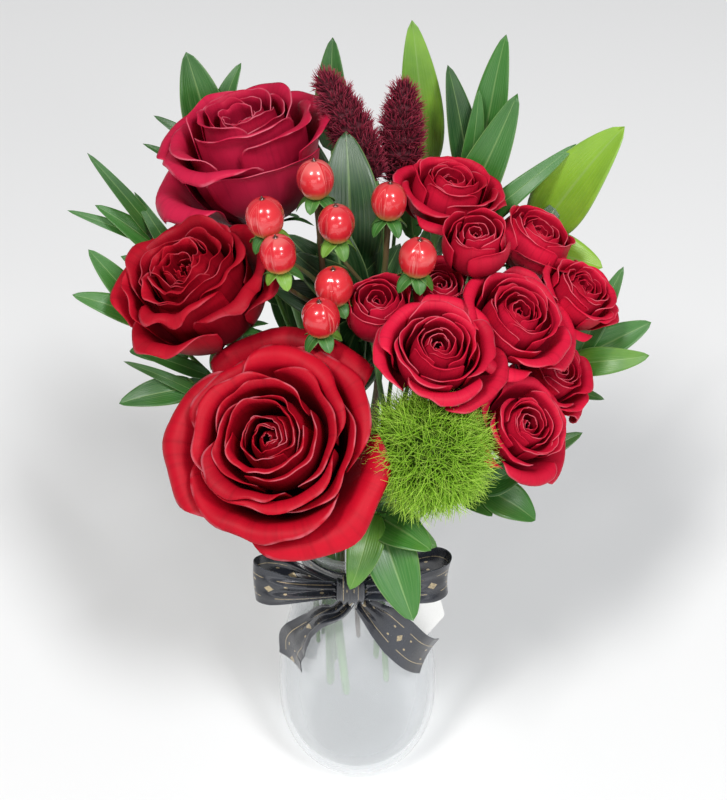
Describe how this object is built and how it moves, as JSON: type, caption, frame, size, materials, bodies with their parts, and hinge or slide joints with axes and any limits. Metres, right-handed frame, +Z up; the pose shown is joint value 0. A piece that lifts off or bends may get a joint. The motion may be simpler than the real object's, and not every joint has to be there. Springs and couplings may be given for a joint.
{
  "type": "roses in a vase",
  "caption": "Bouquet of red roses, spray roses, berries, moss dianthus, dyed grass and ruscus leaves in a round-bellied glass vase with water, a dark satin bow and a gift card",
  "frame": {"origin": "middle of the vase's flat underside, on the surface that it stands on", "axes": "+Z up, the bouquet faces -Y, +X to the viewer's right"},
  "size_m": [0.294, 0.228, 0.428],
  "materials": {
    "vase_glass": "clear, slightly hazy blown glass",
    "water": "clear still water",
    "satin_ribbon": "dark slate satin with a fine gold ornament",
    "card": "plain white card",
    "rose_petals": "velvety deep red petals",
    "spray_rose_petals": "crimson petals",
    "berry_skin": "glossy coral red skin",
    "dianthus_tufts": "fine lime green filaments",
    "dyed_grass": "dark burgundy dyed bristles",
    "green_stem": "fresh green stem",
    "ruscus_leaf": "glossy green leaf with parallel veins"
  },
  "bodies": {
    "root": {"bow_knot": "satin_ribbon", "bow_left_loop": "satin_ribbon", "bow_left_tail": "satin_ribbon", "bow_right_loop": "satin_ribbon", "bow_right_tail": "satin_ribbon", "dianthus_head": "dianthus_tufts", "dianthus_stem": "green_stem", "gift_card": "card", "grass_head_left": "dyed_grass", "grass_head_right": "dyed_grass", "grass_stem_left": "green_stem", "grass_stem_right": "green_stem", "hypericum_berry_1": "berry_skin", "hypericum_berry_2": "berry_skin", "hypericum_berry_3": "berry_skin", "hypericum_berry_4": "berry_skin", "hypericum_berry_5": "berry_skin", "hypericum_berry_6": "berry_skin", "hypericum_berry_7": "berry_skin", "hypericum_berry_8": "berry_skin", "hypericum_stem_front": "green_stem", "hypericum_stem_left": "green_stem", "hypericum_stem_middle": "green_stem", "ribbon_band": "satin_ribbon", "rose_bloom_front": "rose_petals", "rose_bloom_left": "rose_petals", "rose_bloom_top": "rose_petals", "rose_stem_front": "green_stem", "rose_stem_left": "green_stem", "rose_stem_top": "green_stem", "ruscus_back": "ruscus_leaf", "ruscus_back_left": "ruscus_leaf", "ruscus_back_middle": "ruscus_leaf", "ruscus_back_right": "ruscus_leaf", "ruscus_front": "ruscus_leaf", "ruscus_inner": "ruscus_leaf", "ruscus_left_low": "ruscus_leaf", "ruscus_left_mid": "ruscus_leaf", "ruscus_left_upper": "ruscus_leaf", "ruscus_right": "ruscus_leaf", "ruscus_right_low": "ruscus_leaf", "ruscus_right_upper": "ruscus_leaf", "spray_rose_bloom_1": "spray_rose_petals", "spray_rose_bloom_10": "spray_rose_petals", "spray_rose_bloom_2": "spray_rose_petals", "spray_rose_bloom_3": "spray_rose_petals", "spray_rose_bloom_4": "spray_rose_petals", "spray_rose_bloom_5": "spray_rose_petals", "spray_rose_bloom_6": "spray_rose_petals", "spray_rose_bloom_7": "spray_rose_petals", "spray_rose_bloom_8": "spray_rose_petals", "spray_rose_bloom_9": "spray_rose_petals", "spray_rose_stem_middle": "green_stem", "spray_rose_stem_right": "green_stem", "spray_rose_stem_upper": "green_stem", "vase": "vase_glass", "water": "water"}
  },
  "joints": []
}
